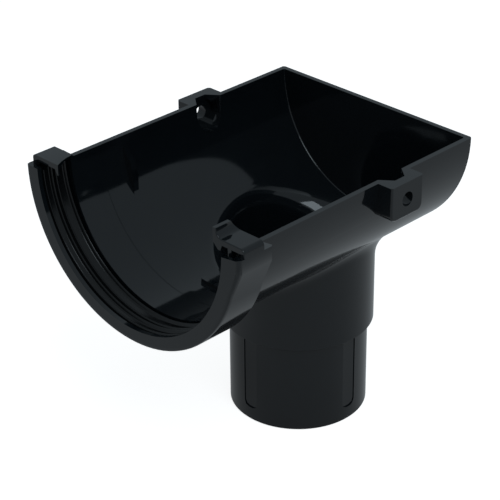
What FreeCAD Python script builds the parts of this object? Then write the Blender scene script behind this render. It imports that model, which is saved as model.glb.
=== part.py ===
import FreeCAD, Part
import os
import re

import Sketcher

# Stop-end outlet for half-round guttering, moulded in one piece, with a rubber seal in its socket.
# X runs along the gutter towards the closed end, Z points up, and the outlet's axis is the Z axis.
# The fascia lies towards +Y, so the front of the gutter is at -Y.
# The origin is the middle of the spigot's lower end, on which the part can stand.

DOCUMENT = FreeCAD.newDocument("stop_end_outlet")
SHEET = DOCUMENT.addObject("Spreadsheet::Sheet", "Sizes")

# Driving sizes in millimetres and degrees: alias, value, meaning
SIZES = [
    ("trough_radius", 56.0, "outer radius of the half-round trough, as the gutter's"),
    ("wall", 2.4, "wall of the trough and of the neck"),
    ("mouth_distance", 100.3, "outlet axis to the open mouth of the socket"),
    ("stop_distance", 48.9, "outlet axis to the outer face of the closed end"),
    ("stop_wall", 2.4, "thickness of the closed end"),
    ("stop_bevel", 0.8, "bevel on the outer edge of the closed end"),
    ("stop_inside_bevel", 0.7, "bevel inside, between trough and closed end"),
    ("neck_radius", 34.0, "outer radius of the neck, flush with a 68 mm pipe"),
    ("step_drop", 89.2, "step under the neck below the rim"),
    ("step_width", 2.7, "step from the neck in to the spigot that enters the pipe"),
    ("step_bevel", 0.6, "bevel on the lower edge of the neck"),
    ("spigot_length", 43.1, "spigot's lower end to the step"),
    ("spigot_wall", 2.3, "wall of the spigot"),
    ("spigot_end_bevel", 0.6, "bevel on the spigot's lower end"),
    ("bore_taper", 6.0, "height of the cone between the two bores"),
    ("blend_radius", 11.5, "blend between the neck and the trough's underside"),
    ("flare_radius", 13.0, "flare from the trough's floor into the bore"),
    ("flute_count", 4, "shallow recesses round the spigot"),
    ("flute_width", 7.6, "width of each recess"),
    ("flute_depth", 0.6, "depth of each recess"),
    ("flute_rise", 6.5, "lower end of each recess above the spigot's end"),
    ("flute_round", 2.6, "lower corners of each recess"),
    ("socket_length", 19.0, "length of the enlarged socket"),
    ("socket_growth", 5.2, "outer radius of the socket beyond the trough's"),
    ("socket_rise", 1.3, "axis of the socket above the rim"),
    ("socket_wall", 2.4, "outer wall of the socket"),
    ("lip_growth", 0.7, "inner radius of the socket's front lip beyond the trough's inside"),
    ("lip_thickness", 2.0, "thickness of the socket's front lip"),
    ("shoulder_wall", 1.6, "wall between the socket and the trough"),
    ("socket_front_bevel", 1.8, "bevel on the front outer edge of the socket"),
    ("socket_back_bevel", 1.1, "bevel on the back outer edge of the socket"),
    ("cheek_growth", 2.5, "flat front side of the socket beyond its round side"),
    ("cheek_straight", 4.5, "lower end of the upright part of that side below the rim"),
    ("cheek_drop", 15.5, "lower end of the sloping part of that side below the rim"),
    ("top_inner_rise", 0.3, "top of the socket above the rim at its inner edges"),
    ("top_front_rise", 1.7, "top of the socket above the rim at its front outer edge"),
    ("top_back_rise", 0.6, "top of the socket above the rim at its back outer edge"),
    ("clip_setback", 3.0, "front of the clips behind the mouth"),
    ("clip_length", 10.8, "length of the clips along the gutter"),
    ("clip_plate", 2.4, "thickness of the clips' top plates"),
    ("clip_post", 1.9, "thickness of the clips' outer posts"),
    ("clip_root", 3.0, "depth of the clips' posts in the socket's side"),
    ("front_clip_height", 5.6, "top of the front clip above the rim"),
    ("front_clip_overlap", 9.3, "how far the front clip reaches in from the gutter's outside"),
    ("front_clip_round", 2.2, "outer top edge of the front clip"),
    ("back_clip_height", 4.4, "top of the back clip above the rim"),
    ("back_clip_overlap", 11.6, "how far the back clip reaches in from the gutter's outside"),
    ("back_clip_inset", 0.8, "outer face of the back clip inside the socket's round side"),
    ("back_clip_round", 1.5, "outer top edge of the back clip"),
    ("back_clip_slant", 3.4, "how far the back clip's inner edge runs outwards"),
    ("nose_radius", 8.0, "hollow under the back clip's nose"),
    ("nose_reach", 7.7, "middle of that hollow behind the front of the clip"),
    ("nose_skin", 0.6, "thickness left above that hollow"),
    ("clip_bevel", 0.5, "bevel on the front edge of the front clip"),
    ("hook_length", 3.0, "length of the front hook along the gutter"),
    ("hook_width", 2.6, "width of the hooks across the gutter"),
    ("hook_drop", 4.9, "lower end of the hooks below the top of their clip"),
    ("hook_slope", 2.8, "height and width of the lead-in slope under the front hook"),
    ("tab_height", 4.0, "finger tab above the front clip's plate"),
    ("tab_thickness", 1.8, "thickness of the finger tab"),
    ("tab_foot_round", 3.0, "foot of the finger tab"),
    ("tab_slope", 2.7, "how far the finger tab's rear end slopes forwards"),
    ("fin_inset", 6.9, "locating fin in the front clip from its outer face"),
    ("fin_width", 1.9, "width of the locating fin"),
    ("fin_length", 2.2, "length of the locating fin along the gutter"),
    ("lug_width", 19.9, "width of the fixing lugs along the gutter"),
    ("lug_offset", 2.3, "middle of the fixing lugs from the outlet axis, towards the mouth"),
    ("lug_depth", 7.6, "outer face of the fixing lugs beyond the trough"),
    ("lug_drop", 16.2, "lower end of the fixing lugs below the rim"),
    ("lug_corner", 3.6, "lower corners of the fixing lugs"),
    ("lug_bevel", 0.9, "bevel on the outer edges of the fixing lugs"),
    ("lug_face", 4.5, "material in front of the lugs' pockets"),
    ("pocket_mouth", 14.8, "width of the lugs' pockets at the trough's inside"),
    ("pocket_floor", 6.0, "width of the lugs' pockets at their deepest"),
    ("screw_drop", 7.9, "screw holes below the rim"),
    ("screw_hole", 6.5, "diameter of the screw holes"),
    ("driver_bore", 13.5, "diameter of the bores that take the screws' heads"),
    ("insertion_depth", 47.4, "mouth to the middle of the gutter stops"),
    ("stop_rib_width", 2.7, "width of the gutter stops"),
    ("stop_rib_top", 3.1, "upper end of the side stops below the rim"),
    ("stop_rib_knee", 10.5, "end of the side stops' slope below the rim"),
    ("stop_rib_lean", 2.1, "how far the side stops stand back at the end of that slope"),
    ("stop_rib_foot", 17.5, "upright part of the side stops below the rim"),
    ("stop_rib_bottom", 26.2, "lower end of the side stops below the rim"),
    ("stop_rib_reach", 6.7, "how far the side stops stand in from the trough's inside"),
    ("floor_stop_height", 1.8, "height of the floor stop"),
    ("floor_stop_angle", 13.0, "arc of the floor stop"),
    ("line_depth", 34.0, "mouth to the raised insertion line"),
    ("line_width", 0.8, "width of the insertion line"),
    ("line_height", 0.12, "height of the insertion line"),
    ("seal_gap", 0.3, "gap between the seal and its groove's floor and front"),
    ("seal_play", 1.8, "gap behind the seal, for the rubber to spread into"),
    ("seal_base", 2.3, "thickness of the seal strip between its ribs"),
    ("seal_angle", 174.0, "arc that the seal covers"),
    ("seal_edge", 1.5, "middle of the outermost ribs from the seal's edges"),
    ("seal_ribs", 3, "ribs on the seal"),
    ("seal_rib_height", 1.8, "height of the seal's ribs"),
    ("seal_rib_foot", 2.2, "width of the seal's ribs at their foot"),
    ("seal_rib_tip", 0.7, "width of the seal's ribs at their tip"),
]
NAMES = {name for name, _, _ in SIZES}

# Places that several features share, as formulas of the sizes
RIM = "(spigot_length + step_drop)"
SPIGOT_RADIUS = "(neck_radius - step_width)"
BORE_RADIUS = "(neck_radius - wall)"
TROUGH_INSIDE = "(trough_radius - wall)"
WALL_MIDDLE = "(trough_radius - wall / 2)"
STOP_INSIDE = "(stop_distance - stop_wall)"
SOCKET_RADIUS = "(trough_radius + socket_growth)"
SOCKET_AXIS = f"({RIM} + socket_rise)"
SOCKET_END = "(mouth_distance - socket_length)"
SHOULDER = "(mouth_distance - socket_length + shoulder_wall)"
GROOVE_FRONT = "(mouth_distance - lip_thickness)"
LIP_RADIUS = f"({TROUGH_INSIDE} + lip_growth)"
GROOVE_RADIUS = f"({SOCKET_RADIUS} - socket_wall)"
CHEEK_REACH = f"({SOCKET_RADIUS} + cheek_growth)"
CLIP_FRONT = "(mouth_distance - clip_setback)"
FRONT_CLIP_INNER = "(trough_radius - front_clip_overlap)"
BACK_CLIP_INNER = "(trough_radius - back_clip_overlap)"
BACK_CLIP_OUTER = f"({SOCKET_RADIUS} - back_clip_inset)"
LUG_REACH = "(trough_radius + lug_depth)"
LUG_START = "(trough_radius - wall * 4)"
STOP_FACE = f"({TROUGH_INSIDE} - stop_rib_reach)"
STOP_PLACE = "(mouth_distance - insertion_depth)"
LINE_PLACE = "(mouth_distance - line_depth)"
BURIED = f"({RIM} - trough_radius / 2)"
BEYOND = "(trough_radius * 2)"


def fill_sheet():
    """Write every driving size in a row of its own, with its alias."""
    for row, (name, number, meaning) in enumerate(SIZES, start=1):
        SHEET.set(f"A{row}", meaning)
        SHEET.set(f"B{row}", str(number))
        SHEET.setAlias(f"B{row}", name)
    DOCUMENT.recompute()


def formula(text):
    """Turn a formula of size names into one that reads the sheet."""
    return re.sub(r"[a-z_]+", lambda word: f"Sizes.{word[0]}" if word[0] in NAMES else word[0], text)


def measure(text):
    """Work out a formula of size names as a number."""
    return float(SHEET.evalExpression(formula(text)))


def new_body(label):
    body = DOCUMENT.addObject("PartDesign::Body", label)
    body.Label = label
    return body


def origin_plane(body, role):
    return next(item for item in body.Origin.OriginFeatures if item.Role == role)


def new_sketch(body, name, role, raised="0", forward="0"):
    """Start a sketch on one of the body's own origin planes, shifted up and along its normal."""
    sketch = body.newObject("Sketcher::SketchObject", name)
    sketch.AttachmentSupport = [(origin_plane(body, role), "")]
    sketch.MapMode = "FlatFace"
    sketch.setExpression("AttachmentOffset.Base.y", formula(raised))
    sketch.setExpression("AttachmentOffset.Base.z", formula(forward))
    return sketch


def fix_point(sketch, line, point, x, y):
    """Hold a point of the sketch at the place that two formulas give."""
    for kind, text in (("DistanceX", x), ("DistanceY", y)):
        rule = Sketcher.Constraint(kind, -1, 1, line, point, measure(text))
        index = sketch.addConstraint(rule)
        sketch.setExpression(f"Constraints[{index}]", formula(text))


def outline(sketch, corners):
    """Draw a closed outline of straight lines through corners given as pairs of formulas."""
    points = [FreeCAD.Vector(measure(x), measure(y), 0) for x, y in corners]
    lines = [Part.LineSegment(*ends) for ends in zip(points, points[1:] + points[:1])]
    first = sketch.GeometryCount
    sketch.addGeometry(lines, False)
    for step, (x, y) in enumerate(corners):
        following = first + (step + 1) % len(corners)
        sketch.addConstraint(Sketcher.Constraint("Coincident", first + step, 2, following, 1))
        fix_point(sketch, first + step, 1, x, y)


def circle(sketch, x, y, diameter):
    middle = FreeCAD.Vector(measure(x), measure(y), 0)
    ring = Part.Circle(middle, FreeCAD.Vector(0, 0, 1), measure(diameter) / 2)
    index = sketch.addGeometry(ring, False)
    fix_point(sketch, index, 3, x, y)
    rule = sketch.addConstraint(Sketcher.Constraint("Diameter", index, measure(diameter)))
    sketch.setExpression(f"Constraints[{rule}]", formula(diameter))


def finish(feature):
    """Recompute a feature and make sure that it worked."""
    DOCUMENT.recompute()
    if "Invalid" in feature.State or "Error" in feature.State:
        raise RuntimeError(f"{feature.Name} failed: {feature.State}")
    if feature.Shape.isNull() or not feature.Shape.isValid():
        raise RuntimeError(f"{feature.Name} has no valid shape")
    return feature


def from_sketch(body, kind, sketch, name):
    """Start a feature of the sketch in the body."""
    feature = body.newObject(f"PartDesign::{kind}", name)
    feature.Profile = sketch
    sketch.Visibility = False
    return feature


def finish_change(body, feature, before, adds):
    """Make sure that a feature worked, and that it added or removed material."""
    finish(feature)
    change = body.Shape.Volume - before
    if change == 0 or (change > 0) != adds:
        raise RuntimeError(f"{feature.Name} changed the volume by {change}")
    return feature


def extrude(body, kind, sketch, name, length, reverse=False):
    """Add a Pad or a Pocket of the sketch, along its normal or the other way."""
    before = body.Shape.Volume
    feature = from_sketch(body, kind, sketch, name)
    feature.setExpression("Length", formula(length))
    feature.Reversed = reverse
    return finish_change(body, feature, before, kind == "Pad")


def turn(body, kind, sketch, name, axis="H_Axis", angle="180"):
    """Add a Revolution or a Groove, to both sides of the sketch's plane."""
    before = body.Shape.Volume if body.Tip else 0
    feature = from_sketch(body, kind, sketch, name)
    feature.ReferenceAxis = (sketch, [axis])
    feature.Midplane = True
    feature.setExpression("Angle", formula(angle))
    return finish_change(body, feature, before, kind == "Revolution")


def edges_where(feature, test):
    """Name the edges of a feature that pass a test."""
    return [f"Edge{number}" for number, edge in enumerate(feature.Shape.Edges, start=1) if test(edge)]


def dress_edges(body, kind, name, measured, size, test):
    """Fillet or chamfer the edges of the body's last feature that pass a test."""
    base = body.Tip
    names = edges_where(base, test)
    if not names:
        raise RuntimeError(f"{name} found no edge")
    feature = body.newObject(f"PartDesign::{kind}", name)
    feature.Base = (base, names)
    feature.setExpression(measured, formula(size))
    return finish(feature)


def round_edges(body, name, radius, test):
    return dress_edges(body, "Fillet", name, "Radius", radius, test)


def bevel_edges(body, name, size, test):
    return dress_edges(body, "Chamfer", name, "Size", size, test)


def along(edge, steps=5):
    """Give points spread along an edge."""
    return edge.discretize(steps)


def close(one, other, within=0.01):
    return abs(one - other) < within


def around_trough(point, radius):
    """Say whether a point lies on a cylinder about the trough's axis."""
    return close((point.y ** 2 + (point.z - measure(RIM)) ** 2) ** 0.5, radius)


def around_outlet(point, radius):
    """Say whether a point lies on a cylinder about the outlet's axis."""
    return close((point.x ** 2 + point.y ** 2) ** 0.5, radius)


def make_outer_forms(body):
    """Trough, neck and spigot as solid forms, blended where the neck leaves the trough."""
    section = new_sketch(body, "trough_section", "XZ_Plane", raised=RIM)
    outline(section, [
        (f"-{SOCKET_END} - shoulder_wall", "0"),
        (f"-{SOCKET_END} - shoulder_wall", "-trough_radius"),
        ("stop_distance", "-trough_radius"),
        ("stop_distance", "0"),
    ])
    turn(body, "Revolution", section, "trough_form")

    section = new_sketch(body, "pipe_section", "XZ_Plane")
    outline(section, [
        ("0", "0"),
        (SPIGOT_RADIUS, "0"),
        (SPIGOT_RADIUS, "spigot_length"),
        ("neck_radius", "spigot_length"),
        ("neck_radius", BURIED),
        ("0", BURIED),
    ])
    turn(body, "Revolution", section, "pipe_form", axis="V_Axis", angle="360")
    outer, neck = measure("trough_radius"), measure("neck_radius")
    room = "stop_distance - neck_radius - stop_bevel * 2"
    round_edges(body, "neck_blend", f"min(blend_radius; {room})", lambda edge: all(
        around_trough(p, outer) and around_outlet(p, neck) for p in along(edge)))


def make_socket_form(body):
    """The enlarged half-round socket, with a flat side towards the front and a sloping top."""
    section = new_sketch(body, "socket_section", "XZ_Plane", raised=SOCKET_AXIS)
    outline(section, [
        ("-mouth_distance", "0"),
        ("-mouth_distance", f"-{SOCKET_RADIUS}"),
        (f"-{SOCKET_END}", f"-{SOCKET_RADIUS}"),
        (f"-{SOCKET_END}", "0"),
    ])
    turn(body, "Revolution", section, "socket_form")

    cheek = new_sketch(body, "cheek_outline", "YZ_Plane", RIM, "-mouth_distance")
    outline(cheek, [
        (f"-{CHEEK_REACH}", "top_front_rise"),
        (f"-{CHEEK_REACH}", "-cheek_straight"),
        (f"-sqrt({SOCKET_RADIUS} ^ 2 - (cheek_drop + socket_rise) ^ 2)", "-cheek_drop"),
        (f"-{TROUGH_INSIDE}", "-cheek_drop"),
        (f"-{TROUGH_INSIDE}", "top_front_rise"),
    ])
    extrude(body, "Pad", cheek, "cheek", "socket_length")

    top = new_sketch(body, "socket_top_outline", "YZ_Plane", RIM, "-mouth_distance")
    outline(top, [
        (f"-{BEYOND}", "top_front_rise"),
        (f"-{CHEEK_REACH}", "top_front_rise"),
        (f"-{TROUGH_INSIDE}", "top_inner_rise"),
        (TROUGH_INSIDE, "top_inner_rise"),
        (SOCKET_RADIUS, "top_back_rise"),
        (BEYOND, "top_back_rise"),
        (BEYOND, BEYOND),
        (f"-{BEYOND}", BEYOND),
    ])
    extrude(body, "Pocket", top, "socket_top", "socket_length", reverse=True)


def make_lug_forms(body):
    """A block on each side of the trough that carries a fixing screw."""
    for side, start, reverse in (("front", LUG_START, False), ("back", f"-{LUG_START}", True)):
        block = new_sketch(body, f"{side}_lug_outline", "XZ_Plane", RIM, start)
        outline(block, [
            ("-lug_offset - lug_width / 2", "0"),
            ("-lug_offset - lug_width / 2", "-lug_drop"),
            ("-lug_offset + lug_width / 2", "-lug_drop"),
            ("-lug_offset + lug_width / 2", "0"),
        ])
        extrude(body, "Pad", block, f"{side}_lug", f"{LUG_REACH} - {LUG_START}", reverse)


def round_outer_edges(body):
    """Moulded radii on the outside, made while the forms are still solid."""
    rim, reach = measure(RIM), measure(LUG_REACH)
    low = rim - measure("lug_drop")

    def lug_corner(edge):
        ends = [vertex.Point for vertex in edge.Vertexes]
        return (len(ends) == 2 and all(close(p.z, low) for p in ends)
                and close(ends[0].x, ends[1].x) and not close(ends[0].y, ends[1].y))

    def lug_edge(edge):
        ends = [vertex.Point for vertex in edge.Vertexes]
        return (len(ends) == 2 and all(close(abs(p.y), reach) for p in ends)
                and not close(ends[0].z, ends[1].z) and max(p.z for p in ends) > rim - 0.1)

    round_edges(body, "lug_corners", "lug_corner", lug_corner)
    bevel_edges(body, "lug_uprights", "lug_bevel", lug_edge)

    stop, outer = measure("stop_distance"), measure("trough_radius")
    bevel_edges(body, "stop_edge", "stop_bevel", lambda edge: all(
        close(p.x, stop) and around_trough(p, outer) for p in along(edge)))

    mouth, end = -measure("mouth_distance"), -measure(SOCKET_END)
    top = rim + measure("top_inner_rise")


    def socket_edge(edge, place):
        points = along(edge)
        return (all(close(p.x, place) and not around_trough(p, outer) for p in points)
                and min(p.z for p in points) < top - 1)

    bevel_edges(body, "socket_front_edge", "socket_front_bevel", lambda edge: socket_edge(edge, mouth))
    bevel_edges(body, "socket_back_edge", "socket_back_bevel", lambda edge: socket_edge(edge, end))


def hollow_out(body):
    """The waterway: trough, socket with its groove, neck and spigot."""
    section = new_sketch(body, "trough_inside_section", "XZ_Plane", raised=RIM)
    outline(section, [
        ("-mouth_distance - wall", "0"),
        ("-mouth_distance - wall", f"-{TROUGH_INSIDE}"),
        (STOP_INSIDE, f"-{TROUGH_INSIDE}"),
        (STOP_INSIDE, "0"),
    ])
    turn(body, "Groove", section, "trough_inside", angle="360")

    section = new_sketch(body, "socket_inside_section", "XZ_Plane", raised=SOCKET_AXIS)
    outline(section, [
        ("-mouth_distance - wall", "0"),
        ("-mouth_distance - wall", f"-{LIP_RADIUS}"),
        (f"-{GROOVE_FRONT}", f"-{LIP_RADIUS}"),
        (f"-{GROOVE_FRONT}", f"-{GROOVE_RADIUS}"),
        (f"-{SHOULDER}", f"-{GROOVE_RADIUS}"),
        (f"-{SHOULDER}", "0"),
    ])
    turn(body, "Groove", section, "socket_inside")

    section = new_sketch(body, "bore_section", "XZ_Plane")
    outline(section, [
        ("0", "-wall"),
        (f"{SPIGOT_RADIUS} - spigot_wall", "-wall"),
        (f"{SPIGOT_RADIUS} - spigot_wall", "spigot_length"),
        (BORE_RADIUS, "spigot_length + bore_taper"),
        (BORE_RADIUS, BURIED),
        ("0", BURIED),
    ])
    turn(body, "Groove", section, "bore", axis="V_Axis", angle="360")

    inside, bore = measure(TROUGH_INSIDE), measure(BORE_RADIUS)
    room = f"{STOP_INSIDE} - {BORE_RADIUS} - stop_inside_bevel * 1.2"
    round_edges(body, "bore_flare", f"min(flare_radius; {room})", lambda edge: all(
        around_trough(p, inside) and around_outlet(p, bore) for p in along(edge)))
    end = measure(STOP_INSIDE)
    bevel_edges(body, "stop_inside_edge", "stop_inside_bevel", lambda edge: all(
        close(p.x, end) and around_trough(p, inside) for p in along(edge)))


def cut_lug_pockets(body):
    """A pocket, a screw-head bore and a screw hole in each lug."""
    for side, sign in (("front", "-"), ("back", "")):
        away = side == "back"
        pocket = new_sketch(body, f"{side}_pocket_outline", "XY_Plane", "0", f"{RIM} - screw_drop")
        outline(pocket, [
            ("-lug_offset - pocket_mouth / 2", f"{sign}(trough_radius - wall * 3)"),
            ("-lug_offset - pocket_mouth / 2", f"{sign}{TROUGH_INSIDE}"),
            ("-lug_offset - pocket_floor / 2", f"{sign}({LUG_REACH} - lug_face)"),
            ("-lug_offset + pocket_floor / 2", f"{sign}({LUG_REACH} - lug_face)"),
            ("-lug_offset + pocket_mouth / 2", f"{sign}{TROUGH_INSIDE}"),
            ("-lug_offset + pocket_mouth / 2", f"{sign}(trough_radius - wall * 3)"),
        ])
        extrude(body, "Pocket", pocket, f"{side}_pocket", "screw_drop + wall", reverse=True)

        start = f"-{LUG_START}" if away else LUG_START
        for size, length in (("driver_bore", f"{LUG_REACH} - lug_face - {LUG_START}"),
                             ("screw_hole", f"{LUG_REACH} - {LUG_START} + wall")):
            ring = new_sketch(body, f"{side}_{size}_outline", "XZ_Plane", RIM, start)
            circle(ring, "-lug_offset", "-screw_drop", size)
            extrude(body, "Pocket", ring, f"{side}_{size}", length, reverse=not away)


def add_front_clip(body):
    """The sprung clip at the front, with its hook, finger tab and locating fin."""
    under = "(front_clip_height - clip_plate)"
    frame = new_sketch(body, "front_clip_outline", "YZ_Plane", RIM, f"-{CLIP_FRONT}")
    outline(frame, [
        (f"-{CHEEK_REACH}", "-clip_root"),
        (f"-{CHEEK_REACH}", "front_clip_height"),
        (f"-{FRONT_CLIP_INNER}", "front_clip_height"),
        (f"-{FRONT_CLIP_INNER}", under),
        (f"-{CHEEK_REACH} + clip_post", under),
        (f"-{CHEEK_REACH} + clip_post", "-clip_root"),
    ])
    extrude(body, "Pad", frame, "front_clip", "clip_length")
    reach, top = measure(CHEEK_REACH), measure(f"{RIM} + front_clip_height")
    round_edges(body, "front_clip_edge", "front_clip_round", lambda edge: all(
        close(p.y, -reach) and close(p.z, top) for p in along(edge)))

    hook = new_sketch(body, "front_hook_outline", "YZ_Plane", RIM, f"-{CLIP_FRONT}")
    low = "(front_clip_height - hook_drop)"
    outline(hook, [
        (f"-{FRONT_CLIP_INNER}", "front_clip_height - clip_plate / 2"),
        (f"-{FRONT_CLIP_INNER}", f"{low} + hook_slope"),
        (f"-{FRONT_CLIP_INNER} - hook_slope", low),
        (f"-{FRONT_CLIP_INNER} - hook_slope - hook_width / 2", low),
        (f"-{FRONT_CLIP_INNER} - hook_slope - hook_width", "front_clip_height - clip_plate / 2"),
    ])
    extrude(body, "Pad", hook, "front_hook", "hook_length")

    tab = new_sketch(body, "tab_outline", "XZ_Plane", RIM, FRONT_CLIP_INNER)
    outline(tab, [
        (f"-{CLIP_FRONT}", "front_clip_height - clip_plate / 2"),
        (f"-{CLIP_FRONT}", "front_clip_height + tab_height"),
        (f"-{CLIP_FRONT} + clip_length - tab_slope", "front_clip_height + tab_height"),
        (f"-{CLIP_FRONT} + clip_length", "front_clip_height"),
        (f"-{CLIP_FRONT} + clip_length", "front_clip_height - clip_plate / 2"),
    ])
    extrude(body, "Pad", tab, "finger_tab", "tab_thickness")
    foot = measure(f"{FRONT_CLIP_INNER} + tab_thickness")
    round_edges(body, "tab_foot", "tab_foot_round", lambda edge: all(
        close(p.y, -foot) and close(p.z, top) for p in along(edge)))
    front = measure(f"-{CLIP_FRONT}")
    bevel_edges(body, "front_clip_bevel", "clip_bevel", lambda edge: all(
        close(p.x, front) and close(p.z, top) for p in along(edge)))

    fin = new_sketch(body, "fin_outline", "YZ_Plane", RIM, f"-{CLIP_FRONT}")
    outline(fin, [
        (f"-{CHEEK_REACH} + fin_inset", "front_clip_height - clip_plate / 2"),
        (f"-{CHEEK_REACH} + fin_inset", "-clip_root / 2"),
        (f"-{CHEEK_REACH} + fin_inset + fin_width", "-clip_root / 2"),
        (f"-{CHEEK_REACH} + fin_inset + fin_width", "front_clip_height - clip_plate / 2"),
    ])
    extrude(body, "Pad", fin, "locating_fin", "fin_length")


def add_back_clip(body):
    """The fixed clip at the fascia side, with its hook."""
    under = "(back_clip_height - clip_plate)"
    frame = new_sketch(body, "back_clip_outline", "YZ_Plane", RIM, f"-{CLIP_FRONT}")
    outline(frame, [
        (BACK_CLIP_OUTER, "-clip_root"),
        (BACK_CLIP_OUTER, "back_clip_height"),
        (BACK_CLIP_INNER, "back_clip_height"),
        (BACK_CLIP_INNER, under),
        (f"{BACK_CLIP_OUTER} - clip_post", under),
        (f"{BACK_CLIP_OUTER} - clip_post", "-clip_root"),
    ])
    extrude(body, "Pad", frame, "back_clip", "clip_length")
    reach, top = measure(BACK_CLIP_OUTER), measure(f"{RIM} + back_clip_height")
    round_edges(body, "back_clip_edge", "back_clip_round", lambda edge: all(
        close(p.y, reach) and close(p.z, top) for p in along(edge)))

    low = "(back_clip_height - hook_drop)"
    nose = new_sketch(body, "back_nose_outline", "YZ_Plane", RIM, f"-{CLIP_FRONT}")
    outline(nose, [
        (BACK_CLIP_INNER, "back_clip_height - clip_plate / 2"),
        (BACK_CLIP_INNER, low),
        (f"{BACK_CLIP_INNER} + hook_width / 4", low),
        (f"{BACK_CLIP_INNER} + hook_width", "back_clip_height - clip_plate / 2"),
    ])
    extrude(body, "Pad", nose, "back_nose", "clip_length")

    hollow = new_sketch(body, "nose_hollow_outline", "XZ_Plane", RIM, f"wall - {BACK_CLIP_INNER}")
    middle = "(back_clip_height - nose_skin - nose_radius)"
    circle(hollow, f"-{CLIP_FRONT} + nose_reach", middle, "nose_radius * 2")
    extrude(body, "Pocket", hollow, "nose_hollow", "wall + back_clip_slant + hook_width")

    slant = new_sketch(body, "back_clip_slant_outline", "XY_Plane", "0", RIM)
    outline(slant, [
        (f"-{CLIP_FRONT}", BACK_CLIP_INNER),
        (f"-{CLIP_FRONT} + clip_length * 0.32", f"{BACK_CLIP_INNER} + back_clip_slant * 0.5"),
        (f"-{CLIP_FRONT} + clip_length * 0.63", f"{BACK_CLIP_INNER} + back_clip_slant * 0.82"),
        (f"-{CLIP_FRONT} + clip_length", f"{BACK_CLIP_INNER} + back_clip_slant"),
        (f"-{CLIP_FRONT} + clip_length + wall", f"{BACK_CLIP_INNER} + back_clip_slant"),
        (f"-{CLIP_FRONT} + clip_length + wall", f"{BACK_CLIP_INNER} - wall"),
        (f"-{CLIP_FRONT}", f"{BACK_CLIP_INNER} - wall"),
    ])
    extrude(body, "Pocket", slant, "back_clip_slant", "back_clip_height + wall", reverse=True)


def add_gutter_stops(body):
    """The stops on both walls and on the floor, and the line that the gutter is pushed in to."""
    for side, sign in (("front", "-"), ("back", "")):
        start = f"-{STOP_PLACE} - stop_rib_width / 2"
        stop = new_sketch(body, f"{side}_stop_outline", "YZ_Plane", RIM, start)
        middle = "(stop_rib_top / 2 + stop_rib_bottom / 2)"
        outline(stop, [
            (f"{sign}sqrt({WALL_MIDDLE} ^ 2 - stop_rib_top ^ 2)", "-stop_rib_top"),
            (f"{sign}({STOP_FACE} + stop_rib_lean)", "-stop_rib_knee"),
            (f"{sign}{STOP_FACE}", "-stop_rib_foot"),
            (f"{sign}{STOP_FACE}", "-stop_rib_bottom"),
            (f"{sign}sqrt({WALL_MIDDLE} ^ 2 - stop_rib_bottom ^ 2)", "-stop_rib_bottom"),
            (f"{sign}sqrt({WALL_MIDDLE} ^ 2 - {middle} ^ 2)", f"-{middle}"),
        ])
        extrude(body, "Pad", stop, f"{side}_stop", "stop_rib_width")

    section = new_sketch(body, "floor_stop_section", "XZ_Plane", raised=RIM)
    outline(section, [
        (f"-{STOP_PLACE} - stop_rib_width / 2", f"-{WALL_MIDDLE}"),
        (f"-{STOP_PLACE} - stop_rib_width / 2", f"-{TROUGH_INSIDE} + floor_stop_height"),
        (f"-{STOP_PLACE} + stop_rib_width / 2", f"-{TROUGH_INSIDE} + floor_stop_height"),
        (f"-{STOP_PLACE} + stop_rib_width / 2", f"-{WALL_MIDDLE}"),
    ])
    turn(body, "Revolution", section, "floor_stop", angle="floor_stop_angle")

    section = new_sketch(body, "line_section", "XZ_Plane", raised=RIM)
    outline(section, [
        (f"-{LINE_PLACE} - line_width / 2", f"-{WALL_MIDDLE}"),
        (f"-{LINE_PLACE} - line_width / 2", f"-{TROUGH_INSIDE} + line_height"),
        (f"-{LINE_PLACE} + line_width / 2", f"-{TROUGH_INSIDE} + line_height"),
        (f"-{LINE_PLACE} + line_width / 2", f"-{WALL_MIDDLE}"),
    ])
    turn(body, "Revolution", section, "insertion_line")


def cut_flutes(body):
    """Shallow recesses in the spigot, below the step and evenly spaced."""
    flute = new_sketch(body, "flute_outline", "YZ_Plane", "0", f"-{SPIGOT_RADIUS} - wall")
    outline(flute, [
        ("-flute_width / 2", "flute_rise + flute_round"),
        ("-flute_width / 2", "spigot_length"),
        ("flute_width / 2", "spigot_length"),
        ("flute_width / 2", "flute_rise + flute_round"),
        ("flute_width / 2 - flute_round * 0.293", "flute_rise + flute_round * 0.293"),
        ("flute_width / 2 - flute_round", "flute_rise"),
        ("-flute_width / 2 + flute_round", "flute_rise"),
        ("-flute_width / 2 + flute_round * 0.293", "flute_rise + flute_round * 0.293"),
    ])
    cut = extrude(body, "Pocket", flute, "flute", "wall + flute_depth", reverse=True)
    ring = body.newObject("PartDesign::PolarPattern", "flutes")
    ring.Originals = [cut]
    ring.Axis = (origin_plane(body, "Z_Axis"), [""])
    ring.Angle = 360
    ring.setExpression("Occurrences", formula("flute_count"))
    body.Tip = ring
    finish(ring)


def round_spigot(body):
    step, neck = measure("spigot_length"), measure("neck_radius")
    bevel_edges(body, "step_edge", "step_bevel", lambda edge: all(
        close(p.z, step) and around_outlet(p, neck) for p in along(edge)))
    spigot = measure(SPIGOT_RADIUS)
    bevel_edges(body, "spigot_end_edge", "spigot_end_bevel", lambda edge: all(
        close(p.z, 0) and around_outlet(p, spigot) for p in along(edge)))


def make_outlet():
    body = new_body("outlet_body")
    make_outer_forms(body)
    make_socket_form(body)
    make_lug_forms(body)
    round_outer_edges(body)
    hollow_out(body)
    cut_lug_pockets(body)
    add_front_clip(body)
    add_back_clip(body)
    add_gutter_stops(body)
    cut_flutes(body)
    round_spigot(body)
    return body


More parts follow.
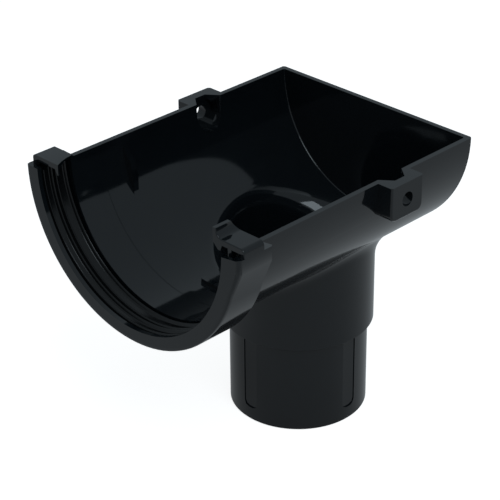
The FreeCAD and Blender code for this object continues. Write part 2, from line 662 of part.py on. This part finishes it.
def make_seal():
    """The ribbed rubber strip that lies in the socket's groove."""
    body = new_body("socket_seal")
    section = new_sketch(body, "seal_section", "XZ_Plane", raised=SOCKET_AXIS)
    outer = f"-{GROOVE_RADIUS} + seal_gap"
    inner = f"{outer} + seal_base"
    tip = f"{inner} + seal_rib_height"
    front = f"-{GROOVE_FRONT} + seal_gap"
    back = f"-{SHOULDER} - seal_play"
    pitch = f"(({back}) - ({front}) - seal_edge * 2) / (seal_ribs - 1)"
    corners = [(front, outer), (front, inner)]
    for rib in range(round(measure("seal_ribs"))):
        middle = f"{front} + seal_edge + {pitch} * {rib}"
        corners += [
            (f"{middle} - seal_rib_foot / 2", inner),
            (f"{middle} - seal_rib_tip / 2", tip),
            (f"{middle} + seal_rib_tip / 2", tip),
            (f"{middle} + seal_rib_foot / 2", inner),
        ]
    corners += [(back, inner), (back, outer)]
    outline(section, corners)
    turn(body, "Revolution", section, "seal_strip", angle="seal_angle")
    return body


def write_parts(bodies):
    """Check the whole document and write one file for each piece."""
    failed = [item.Name for item in DOCUMENT.Objects
              if "Invalid" in item.State or "Error" in item.State]
    if failed:
        raise RuntimeError(f"failed objects: {failed}")
    os.makedirs("parts", exist_ok=True)
    for body in bodies:
        if body.Shape.isNull() or not body.Shape.isValid() or len(body.Shape.Solids) != 1:
            raise RuntimeError(f"{body.Label} is not one valid solid")
        body.Shape.exportStep(f"parts/{body.Label}.step")
        print(f"{body.Label}: {body.Shape.Volume / 1000:.2f} cubic centimetres")


fill_sheet()
pieces = [make_outlet(), make_seal()]
write_parts(pieces)
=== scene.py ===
import math

import bmesh
import bpy
from mathutils import Matrix, Vector


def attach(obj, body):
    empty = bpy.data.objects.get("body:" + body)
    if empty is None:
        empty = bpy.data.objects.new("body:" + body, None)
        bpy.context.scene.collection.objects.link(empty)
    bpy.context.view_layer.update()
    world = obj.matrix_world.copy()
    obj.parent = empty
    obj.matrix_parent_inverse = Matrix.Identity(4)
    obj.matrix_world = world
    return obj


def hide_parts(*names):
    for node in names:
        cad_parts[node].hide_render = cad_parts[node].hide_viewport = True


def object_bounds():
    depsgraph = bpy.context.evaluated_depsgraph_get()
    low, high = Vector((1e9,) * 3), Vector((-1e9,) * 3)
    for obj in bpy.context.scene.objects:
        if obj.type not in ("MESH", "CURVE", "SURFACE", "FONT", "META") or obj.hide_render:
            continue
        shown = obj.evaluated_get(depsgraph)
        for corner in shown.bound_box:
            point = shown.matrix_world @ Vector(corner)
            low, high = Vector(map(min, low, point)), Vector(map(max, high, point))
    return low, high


# Gutter stop-end outlet in gloss black PVC, with the ribbed rubber seal of its socket
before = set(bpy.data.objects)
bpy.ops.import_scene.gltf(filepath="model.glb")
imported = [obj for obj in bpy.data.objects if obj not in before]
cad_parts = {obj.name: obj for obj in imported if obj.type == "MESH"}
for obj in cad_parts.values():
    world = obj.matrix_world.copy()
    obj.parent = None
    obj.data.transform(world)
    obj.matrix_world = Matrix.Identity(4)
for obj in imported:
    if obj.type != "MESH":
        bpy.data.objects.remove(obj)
CAD_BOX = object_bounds()
MM = 0.001

# The view, fitted to the edges of the photographed outlet
VIEW_AZIMUTH = math.radians(-46.188)
VIEW_ELEVATION = math.radians(28.832)
VIEW_DISTANCE = 801.27 * MM
VIEW_ASIDE = -6.239 * MM
VIEW_ABOVE = -49.46 * MM
RIM_HEIGHT = 132.3 * MM
PHOTO_WIDTH = 500
FOCAL_PIXELS = 1861.9
CENTRE_PIXEL = (284.6, 248.8)
SENSOR_WIDTH = 36.0

# Faces flatter than this against each other are one face, facets that meet at less than the next are one
# curved surface, and edges sharper than the last show as edges
FLAT_LIMIT = math.radians(0.4)
SURFACE_LIMIT = math.radians(16)
SHARP_LIMIT = math.radians(52)

# The socket's outside, the bevel round its front, and the radius that shows there instead
SOCKET_AXIS_HEIGHT = 133.6 * MM
SOCKET_RADIUS = 61.2 * MM
SOCKET_BEVEL = 1.8 * MM
EDGE_RADIUS = 1.0 * MM
EDGE_STEPS = 3

# The seal's strip in the socket's groove: its ends along the gutter, its arc and its ribs
SEAL_FRONT = -98.0 * MM
SEAL_BACK = -83.7 * MM
SEAL_OUTER_RADIUS = 58.5 * MM
SEAL_BASE = 2.3 * MM
SEAL_ARC = math.radians(174)
SEAL_SHARP_LIMIT = math.radians(75)
SECTION_POINTS = 170
ARC_POINTS = 140
RIB_HEIGHT = 1.5 * MM
RIB_FOOT = 1.9 * MM
RIB_TIP = 0.2 * MM
# Middles of the ribs behind the strip's front: a single one, a twin and a single one
RIB_PLACES = (1.5 * MM, 5.7 * MM, 7.7 * MM, 13.0 * MM)

# The studio: cool daylight, the light that the world gives, the table's glow, and how much more of both
# shows in gloss than lights the outlet
STUDIO_WHITE = (0.79, 0.92, 1.0, 1.0)
PURE_WHITE = (1, 1, 1, 1)
WORLD_LIGHT = 0.35
FLOOR_GLOW = 0.86
FLOOR_SIZE = 8
WORLD_IN_GLOSS = 0.12
FLOOR_IN_GLOSS = 0.15
BOX_PLACE = (-0.43, -0.82, 1.25)
BOX_AIM = (0, 0, 0.1)
BOX_SIZE = (0.85, 0.7)
BOX_POWER = 7


def add_node(tree, kind, settings=(), inputs=(), links=()):
    """Add a node, set its properties and inputs, and link other sockets into it."""
    node = tree.nodes.new(kind)
    for name, value in dict(settings).items():
        setattr(node, name, value)
    for name, value in dict(inputs).items():
        node.inputs[name].default_value = value
    for name, socket in dict(links).items():
        tree.links.new(socket, node.inputs[name])
    return node


def linear(code):
    """Turn an sRGB hex code into a linear colour with full alpha."""
    channels = [int(code[place:place + 2], 16) / 255 for place in (1, 3, 5)]
    return [c / 12.92 if c <= 0.04045 else ((c + 0.055) / 1.055) ** 2.4 for c in channels] + [1.0]


def new_material(name):
    """Start a node material and return it with its tree, its surface shader and its coordinates."""
    material = bpy.data.materials.new(name)
    material.use_nodes = True
    tree = material.node_tree
    shader = tree.nodes["Principled BSDF"]
    place = add_node(tree, "ShaderNodeTexCoord")
    return material, tree, shader, place.outputs["Object"]


def moulded_pvc():
    """Black PVC, injected into a polished mould, which gives it a near-mirror skin on a jet black body."""
    material, tree, shader, place = new_material("gloss_black_pvc")
    shader.inputs["IOR"].default_value = 1.46
    # The melt freezes unevenly, so reflections swim a little over distances of a few centimetres
    flow = add_node(tree, "ShaderNodeTexNoise", inputs={"Scale": 1 / (28 * MM), "Detail": 1.0},
                    links={"Vector": place})
    swim = add_node(tree, "ShaderNodeBump", inputs={"Strength": 0.02, "Distance": 0.4 * MM},
                    links={"Height": flow.outputs["Fac"]})
    tree.links.new(swim.outputs["Normal"], shader.inputs["Normal"])
    # Handling leaves a faint, patchy haze on the polish
    haze = add_node(tree, "ShaderNodeTexNoise", inputs={"Scale": 1 / (9 * MM), "Detail": 6.0},
                    links={"Vector": place})
    polish = add_node(tree, "ShaderNodeMapRange", inputs={"To Min": 0.05, "To Max": 0.10},
                      links={"Value": haze.outputs["Fac"]})
    tree.links.new(polish.outputs["Result"], shader.inputs["Roughness"])
    tint = add_node(tree, "ShaderNodeMix", settings={"data_type": "RGBA"}, links={0: haze.outputs["Fac"]})
    tint.inputs["A"].default_value = linear("#0A0E11")
    tint.inputs["B"].default_value = linear("#0E1215")
    tree.links.new(tint.outputs["Result"], shader.inputs["Base Color"])
    return material


def seal_rubber():
    """Extruded EPDM rubber wiped with silicone, which shows as dark, soft satin."""
    material, tree, shader, place = new_material("seal_rubber")
    shader.inputs["IOR"].default_value = 1.36
    # The grain is far finer than this, and is drawn this coarse so that it shows
    grain = add_node(tree, "ShaderNodeTexNoise", inputs={"Scale": 1 / (1.5 * MM), "Detail": 3.0},
                     links={"Vector": place})
    satin = add_node(tree, "ShaderNodeMapRange", inputs={"To Min": 0.14, "To Max": 0.24},
                     links={"Value": grain.outputs["Fac"]})
    tree.links.new(satin.outputs["Result"], shader.inputs["Roughness"])
    tint = add_node(tree, "ShaderNodeMix", settings={"data_type": "RGBA"}, links={0: grain.outputs["Fac"]})
    tint.inputs["A"].default_value = linear("#08090A")
    tint.inputs["B"].default_value = linear("#0D0E0F")
    tree.links.new(tint.outputs["Result"], shader.inputs["Base Color"])
    return material


def moulded_outlet(material):
    """Weld the solid's triangles into its faces and shade them as the smooth skin from a polished mould."""
    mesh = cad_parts["outlet_body"].data.copy()
    shape = bmesh.new()
    shape.from_mesh(mesh)
    bmesh.ops.remove_doubles(shape, verts=shape.verts, dist=0.002 * MM)
    bmesh.ops.dissolve_degenerate(shape, edges=shape.edges, dist=0.001 * MM)
    bmesh.ops.dissolve_limit(shape, angle_limit=FLAT_LIMIT, use_dissolve_boundaries=False,
                             verts=shape.verts, edges=shape.edges)
    round_socket_edge(shape)
    shape.to_mesh(mesh)
    shape.free()
    mesh.materials.clear()
    mesh.materials.append(material)
    piece = bpy.data.objects.new("moulded_outlet", mesh)
    bpy.context.scene.collection.objects.link(piece)
    mesh.shade_smooth()
    mesh.set_sharp_from_angle(angle=SHARP_LIMIT)
    mesh.normals_split_custom_set(skin_normals(mesh))
    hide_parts("outlet_body")
    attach(piece, "root")
    return piece


def round_edge_line(start):
    """The points from the bevel's front edge round a small radius to the socket's outside."""
    outwards = Vector((0, start.y, start.z - SOCKET_AXIS_HEIGHT)).normalized()
    corner = start + outwards * SOCKET_BEVEL
    along, behind = -outwards * EDGE_RADIUS, Vector((EDGE_RADIUS, 0, 0))
    turns = [math.radians(90) * step / EDGE_STEPS for step in range(EDGE_STEPS + 1)]
    return [corner + along * (1 - math.sin(turn)) + behind * (1 - math.cos(turn)) for turn in turns]


def round_socket_edge(shape):
    """Put a small radius in the place of the bevel round the socket's front."""
    front = CAD_BOX[0][0]
    back = front + SOCKET_BEVEL

    def on_circle(point, distance, radius):
        reach = math.hypot(point.co.y, point.co.z - SOCKET_AXIS_HEIGHT)
        return abs(point.co.x - distance) < 0.02 * MM and abs(reach - radius) < 0.05 * MM

    def crosses(ends):
        return any(end in fronts for end in ends) and any(end in backs for end in ends)

    fronts = {point for point in shape.verts if on_circle(point, front, SOCKET_RADIUS - SOCKET_BEVEL)}
    backs = {point for point in shape.verts if on_circle(point, back, SOCKET_RADIUS)}
    strip = [face for face in shape.faces if crosses(face.verts)
             and all(point in fronts or point in backs for point in face.verts)]
    in_strip = set(strip)
    # At the strip's ends the faces beyond it take the new points into their outlines
    beyond = [face for face in shape.faces if face not in in_strip
              and any(crosses(edge.verts) and in_strip & set(edge.link_faces) for edge in face.edges)]
    lines = {}
    for face in strip:
        for point in face.verts:
            if point in fronts and point not in lines:
                lines[point] = [point] + [shape.verts.new(place) for place in round_edge_line(point.co)]

    # The strip now starts from the last line of the radius, and the lines before it are filled in
    outlines = []
    for face in strip:
        corners = list(face.verts)
        outlines.append([lines[point][-1] if point in fronts else point for point in corners])
        for one, other in zip(corners, corners[1:] + corners[:1]):
            if one in fronts and other in fronts:
                for step in range(EDGE_STEPS + 1):
                    outlines.append([lines[one][step], lines[other][step],
                                     lines[other][step + 1], lines[one][step + 1]])
    for face in beyond:
        corners = list(face.verts)
        outline = []
        for one, other in zip(corners, corners[1:] + corners[:1]):
            outline.append(one)
            if in_strip & set(shape.edges.get((one, other)).link_faces):
                if one in fronts and other in backs:
                    outline += lines[one][1:]
                elif one in backs and other in fronts:
                    outline += lines[other][:0:-1]
        outlines.append(outline)
    bmesh.ops.delete(shape, geom=strip + beyond, context="FACES_KEEP_BOUNDARY")
    for outline in outlines:
        shape.faces.new(outline)
    shape.normal_update()


def surfaces(shape):
    """Number the surfaces that the faces belong to: faces that meet almost flat lie on one surface."""
    number = {}
    areas = []
    for first in shape.faces:
        if first in number:
            continue
        number[first] = len(areas)
        area = 0
        waiting = [first]
        while waiting:
            face = waiting.pop()
            area += face.calc_area()
            for edge in face.edges:
                if len(edge.link_faces) != 2 or edge.calc_face_angle() > SURFACE_LIMIT:
                    continue
                for other in edge.link_faces:
                    if other not in number:
                        number[other] = len(areas)
                        waiting.append(other)
        areas.append(area)
    return number, areas


def skin_normals(mesh):
    """Work out a normal for each face corner from the widest surface that meets there.

    Flat faces stay flat, round ones shade round, and narrow bevels shade as the mould's small radii."""
    shape = bmesh.new()
    shape.from_mesh(mesh)
    shape.normal_update()
    number, areas = surfaces(shape)
    normals = [None] * sum(len(face.loops) for face in shape.faces)
    for vertex in shape.verts:
        corners = {corner.face: corner for corner in vertex.link_loops}
        seen = set()
        for first in corners:
            if first in seen:
                continue
            # The faces round the vertex that no sharp edge parts from the first
            fan = []
            waiting = [first]
            seen.add(first)
            while waiting:
                face = waiting.pop()
                fan.append(face)
                for edge in face.edges:
                    if vertex not in edge.verts or len(edge.link_faces) != 2:
                        continue
                    if edge.calc_face_angle() > SHARP_LIMIT:
                        continue
                    for other in edge.link_faces:
                        if other not in seen and other in corners:
                            seen.add(other)
                            waiting.append(other)
            widest = max((number[face] for face in fan), key=lambda place: areas[place])
            normal = Vector()
            for face in fan:
                if number[face] == widest:
                    normal += face.normal * corners[face].calc_angle()
            for face in fan:
                normals[corners[face].index] = normal.normalized()
    shape.free()
    return normals


def settle(piece):
    """Turn a piece with its modifiers into a plain mesh."""
    evaluated = piece.evaluated_get(bpy.context.evaluated_depsgraph_get())
    finished = bpy.data.meshes.new_from_object(evaluated)
    piece.modifiers.clear()
    piece.data = finished


def seal_tree():
    """Nodes that run the strip's ribbed section along its half circle in the socket."""
    tree = bpy.data.node_groups.new("ribbed_strip", "GeometryNodeTree")
    tree.is_modifier = True
    inputs = {"Outer radius": SEAL_OUTER_RADIUS, "Arc": SEAL_ARC, "Length": SEAL_BACK - SEAL_FRONT,
              "Base": SEAL_BASE, "Rib height": RIB_HEIGHT}
    for name, size in inputs.items():
        tree.interface.new_socket(name, in_out="INPUT", socket_type="NodeSocketFloat").default_value = size
    tree.interface.new_socket("Finish", in_out="INPUT", socket_type="NodeSocketMaterial")
    tree.interface.new_socket("Geometry", in_out="OUTPUT", socket_type="NodeSocketGeometry")
    sizes = add_node(tree, "NodeGroupInput").outputs

    def result(operation, *values):
        """Link or set a Math node's values and return its result."""
        given = {"inputs": {}, "links": {}}
        for place, value in enumerate(values):
            kind = "links" if isinstance(value, bpy.types.NodeSocket) else "inputs"
            given[kind][place] = value
        return add_node(tree, "ShaderNodeMath", settings={"operation": operation}, **given).outputs[0]

    # The section's back lies on zero, its inner side towards minus X, and its front end on zero of Y
    section = add_node(tree, "GeometryNodeCurvePrimitiveQuadrilateral",
                       links={"Width": sizes["Base"], "Height": sizes["Length"]})
    middle = add_node(tree, "ShaderNodeCombineXYZ", links={"X": result("MULTIPLY", sizes["Base"], -0.5),
                                                           "Y": result("MULTIPLY", sizes["Length"], -0.5)})
    placed = add_node(tree, "GeometryNodeTransform",
                      links={"Geometry": section.outputs["Curve"], "Translation": middle.outputs[0]})
    fine = add_node(tree, "GeometryNodeResampleCurve", inputs={"Count": SECTION_POINTS},
                    links={"Curve": placed.outputs[0]})

    # The ribs rise from the inner side's points
    position = add_node(tree, "GeometryNodeInputPosition")
    point = add_node(tree, "ShaderNodeSeparateXYZ", links={0: position.outputs[0]})
    inner_side = result("LESS_THAN", point.outputs["X"], result("MULTIPLY", sizes["Base"], -0.97))
    behind = result("DIVIDE", result("MULTIPLY", point.outputs["Y"], -1), sizes["Length"])
    ribs = add_node(tree, "ShaderNodeFloatCurve", links={"Value": behind})
    draw_ribs(ribs.mapping)
    rise = result("MULTIPLY", result("MULTIPLY", ribs.outputs[0], sizes["Rib height"]), -1)
    upwards = add_node(tree, "ShaderNodeCombineXYZ", links={"X": rise})
    raised = add_node(tree, "GeometryNodeSetPosition",
                      links={"Geometry": fine.outputs[0], "Selection": inner_side,
                             "Offset": upwards.outputs[0]})

    # The arc hangs open side up, and its plane is turned across the gutter once the section has run along it
    start = result("SUBTRACT", math.radians(270), result("MULTIPLY", sizes["Arc"], 0.5))
    arc = add_node(tree, "GeometryNodeCurveArc", inputs={"Resolution": ARC_POINTS},
                   links={"Radius": sizes["Outer radius"], "Start Angle": start, "Sweep Angle": sizes["Arc"]})
    level = add_node(tree, "GeometryNodeSetCurveNormal", settings={"mode": "Z_UP"},
                     links={"Curve": arc.outputs["Curve"]})
    strip = add_node(tree, "GeometryNodeCurveToMesh", inputs={"Fill Caps": True},
                     links={"Curve": level.outputs[0], "Profile Curve": raised.outputs[0]})
    across = add_node(tree, "GeometryNodeTransform", links={"Geometry": strip.outputs[0]},
                      inputs={"Rotation": (math.radians(90), 0, math.radians(90)),
                              "Translation": (SEAL_FRONT, 0, SOCKET_AXIS_HEIGHT)})
    real = add_node(tree, "GeometryNodeRealizeInstances", links={0: across.outputs[0]})
    finished = add_node(tree, "GeometryNodeSetMaterial",
                        links={"Geometry": real.outputs[0], "Material": sizes["Finish"]})
    add_node(tree, "NodeGroupOutput", links={0: finished.outputs[0]})
    return tree


def draw_ribs(mapping):
    """Draw the ribs' height over the strip's length in a curve that starts out as one straight line."""
    length = SEAL_BACK - SEAL_FRONT
    curve = mapping.curves[0]
    curve.points[0].location = (0, 0)
    curve.points[1].location = (1, 0)
    for place in RIB_PLACES:
        for aside, height in ((-RIB_FOOT / 2, 0), (-RIB_TIP / 2, 1), (RIB_TIP / 2, 1), (RIB_FOOT / 2, 0)):
            curve.points.new((place + aside) / length, height)
    for corner in curve.points:
        corner.handle_type = "VECTOR"
    mapping.update()


def ribbed_seal(material):
    """The rubber strip in the socket's groove."""
    piece = bpy.data.objects.new("ribbed_seal", bpy.data.meshes.new("ribbed_seal"))
    bpy.context.scene.collection.objects.link(piece)
    strip = piece.modifiers.new("ribbed_strip", "NODES")
    strip.node_group = seal_tree()
    finish = next(item for item in strip.node_group.interface.items_tree if item.name == "Finish")
    strip[finish.identifier] = material
    settle(piece)
    piece.data.shade_smooth()
    piece.data.set_sharp_from_angle(angle=SEAL_SHARP_LIMIT)
    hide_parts("socket_seal")
    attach(piece, "root")
    return piece


def background_rays(tree, in_gloss):
    """Tell the rays that see the background from light rays, with the share of it that gloss gives back."""
    path = add_node(tree, "ShaderNodeLightPath")
    seen = path.outputs["Is Camera Ray"]
    for kind, share in (("Is Glossy Ray", in_gloss), ("Is Transmission Ray", 1.0)):
        part = add_node(tree, "ShaderNodeMath", settings={"operation": "MULTIPLY"}, inputs={1: share},
                        links={0: path.outputs[kind]})
        either = add_node(tree, "ShaderNodeMath", settings={"operation": "MAXIMUM"},
                          links={0: seen, 1: part.outputs[0]})
        seen = either.outputs[0]
    return seen


def white_world():
    """Surround the outlet with white that lights it softly and a little cool."""
    world = bpy.data.worlds.new("studio")
    world.use_nodes = True
    bpy.context.scene.world = world
    tree = world.node_tree
    backdrop = tree.nodes["Background"]
    sky = add_node(tree, "ShaderNodeMix", settings={"data_type": "RGBA"},
                   links={0: add_node(tree, "ShaderNodeLightPath").outputs["Is Camera Ray"]})
    sky.inputs["A"].default_value = STUDIO_WHITE
    sky.inputs["B"].default_value = PURE_WHITE
    tree.links.new(sky.outputs["Result"], backdrop.inputs["Color"])
    level = add_node(tree, "ShaderNodeMapRange", inputs={"To Min": WORLD_LIGHT, "To Max": 1.0},
                     links={"Value": background_rays(tree, WORLD_IN_GLOSS)})
    tree.links.new(level.outputs["Result"], backdrop.inputs["Strength"])


def white_floor():
    """A pale table that shows white and keeps the outlet's soft shadow."""
    bpy.ops.mesh.primitive_plane_add(size=FLOOR_SIZE)
    floor = bpy.context.object
    floor.name = "floor"
    material, tree, shader, _ = new_material("pale_table")
    shader.inputs["Base Color"].default_value = linear("#BEBEBE")
    shader.inputs["Roughness"].default_value = 0.9
    shader.inputs["Specular IOR Level"].default_value = 0.0
    shader.inputs["Emission Color"].default_value = PURE_WHITE
    glow = add_node(tree, "ShaderNodeMapRange", inputs={"To Min": 0.0, "To Max": FLOOR_GLOW},
                    links={"Value": background_rays(tree, FLOOR_IN_GLOSS)})
    tree.links.new(glow.outputs["Result"], shader.inputs["Emission Strength"])
    floor.data.materials.append(material)


def lamp(name, place, aim, size, power):
    """Hang a soft box at a place and point it at another."""
    light = bpy.data.lights.new(name, "AREA")
    light.shape = "RECTANGLE"
    light.size, light.size_y = size
    light.energy = power
    light.color = STUDIO_WHITE[:3]
    box = bpy.data.objects.new(name, light)
    bpy.context.scene.collection.objects.link(box)
    box.location = place
    box.rotation_euler = (Vector(aim) - Vector(place)).to_track_quat("-Z", "Y").to_euler()


def photo_camera():
    """Set the camera where the photograph was taken from, with the same cut-out of its picture."""
    back = Vector((math.sin(VIEW_AZIMUTH) * math.cos(VIEW_ELEVATION),
                   -math.cos(VIEW_AZIMUTH) * math.cos(VIEW_ELEVATION), math.sin(VIEW_ELEVATION)))
    right = Vector((math.cos(VIEW_AZIMUTH), math.sin(VIEW_AZIMUTH), 0))
    above = back.cross(right)
    target = right * VIEW_ASIDE + above * VIEW_ABOVE + Vector((0, 0, RIM_HEIGHT))
    lens = bpy.data.cameras.new("photo_view")
    lens.sensor_width = SENSOR_WIDTH
    lens.lens = FOCAL_PIXELS / PHOTO_WIDTH * SENSOR_WIDTH
    lens.shift_x = (PHOTO_WIDTH / 2 - CENTRE_PIXEL[0]) / PHOTO_WIDTH
    lens.shift_y = (CENTRE_PIXEL[1] - PHOTO_WIDTH / 2) / PHOTO_WIDTH
    lens.clip_start = 0.01
    camera = bpy.data.objects.new("photo_view", lens)
    bpy.context.scene.collection.objects.link(camera)
    camera.matrix_world = Matrix.Translation(target + back * VIEW_DISTANCE) @ Matrix(
        (right, above, back)).transposed().to_4x4()
    bpy.context.scene.camera = camera


bpy.context.scene.view_settings.view_transform = "Standard"
photo_camera()
white_world()
white_floor()
lamp("overhead_box", BOX_PLACE, BOX_AIM, BOX_SIZE, BOX_POWER)

outlet = moulded_outlet(moulded_pvc())
seal = ribbed_seal(seal_rubber())
